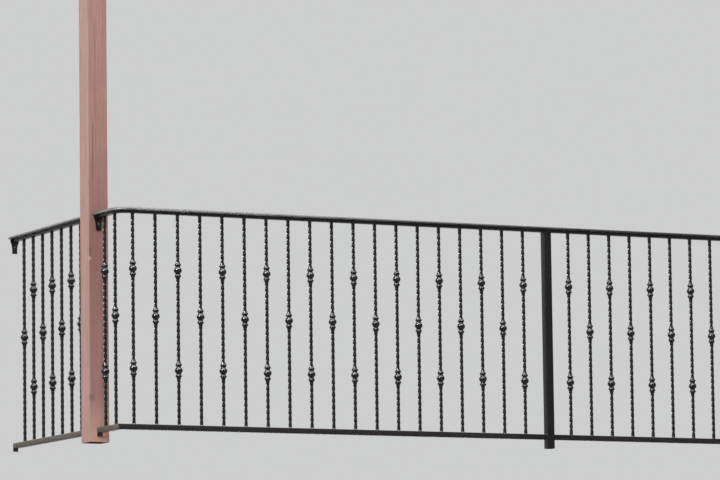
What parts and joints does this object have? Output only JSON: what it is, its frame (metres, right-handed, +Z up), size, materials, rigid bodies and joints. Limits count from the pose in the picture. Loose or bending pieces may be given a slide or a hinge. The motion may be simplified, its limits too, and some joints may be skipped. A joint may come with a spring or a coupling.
{
  "type": "iron balcony railing",
  "caption": "Three-sided black iron balcony railing with twisted knuckled balusters, rounded corners, a square iron post and timber roof posts.",
  "frame": {"origin": "centre of the iron post's foot on the deck", "axes": "+X along the front to the right as seen from outside, +Y from the front back to the house wall, +Z up"},
  "size_m": [4.6, 1.2778, 2.134],
  "materials": {
    "iron": "satin black paint, weathered, with rust specks at the joints",
    "timber": "weathered reddish brown paint with fine checks"
  },
  "bodies": {
    "root": {"iron_post": "iron", "iron_post_foot": "iron", "left_cap_rail": "iron", "left_top_channel": "iron", "left_bottom_rail": "iron", "left_corner_bottom_rail": "iron", "left_single_balusters": "iron", "left_double_balusters": "iron", "left_corner_balusters": "iron", "left_corner_lugs": "iron", "left_side_cap_rail": "iron", "left_side_top_channel": "iron", "left_side_bottom_rail": "iron", "left_side_single_balusters": "iron", "left_side_double_balusters": "iron", "left_side_post_lugs": "iron", "left_wall_lugs": "iron", "left_timber_post": "timber", "right_cap_rail": "iron", "right_top_channel": "iron", "right_bottom_rail": "iron", "right_corner_bottom_rail": "iron", "right_single_balusters": "iron", "right_double_balusters": "iron", "right_corner_balusters": "iron", "right_corner_lugs": "iron", "right_side_cap_rail": "iron", "right_side_top_channel": "iron", "right_side_bottom_rail": "iron", "right_side_single_balusters": "iron", "right_side_double_balusters": "iron", "right_side_post_lugs": "iron", "right_wall_lugs": "iron", "right_timber_post": "timber"}
  },
  "joints": []
}
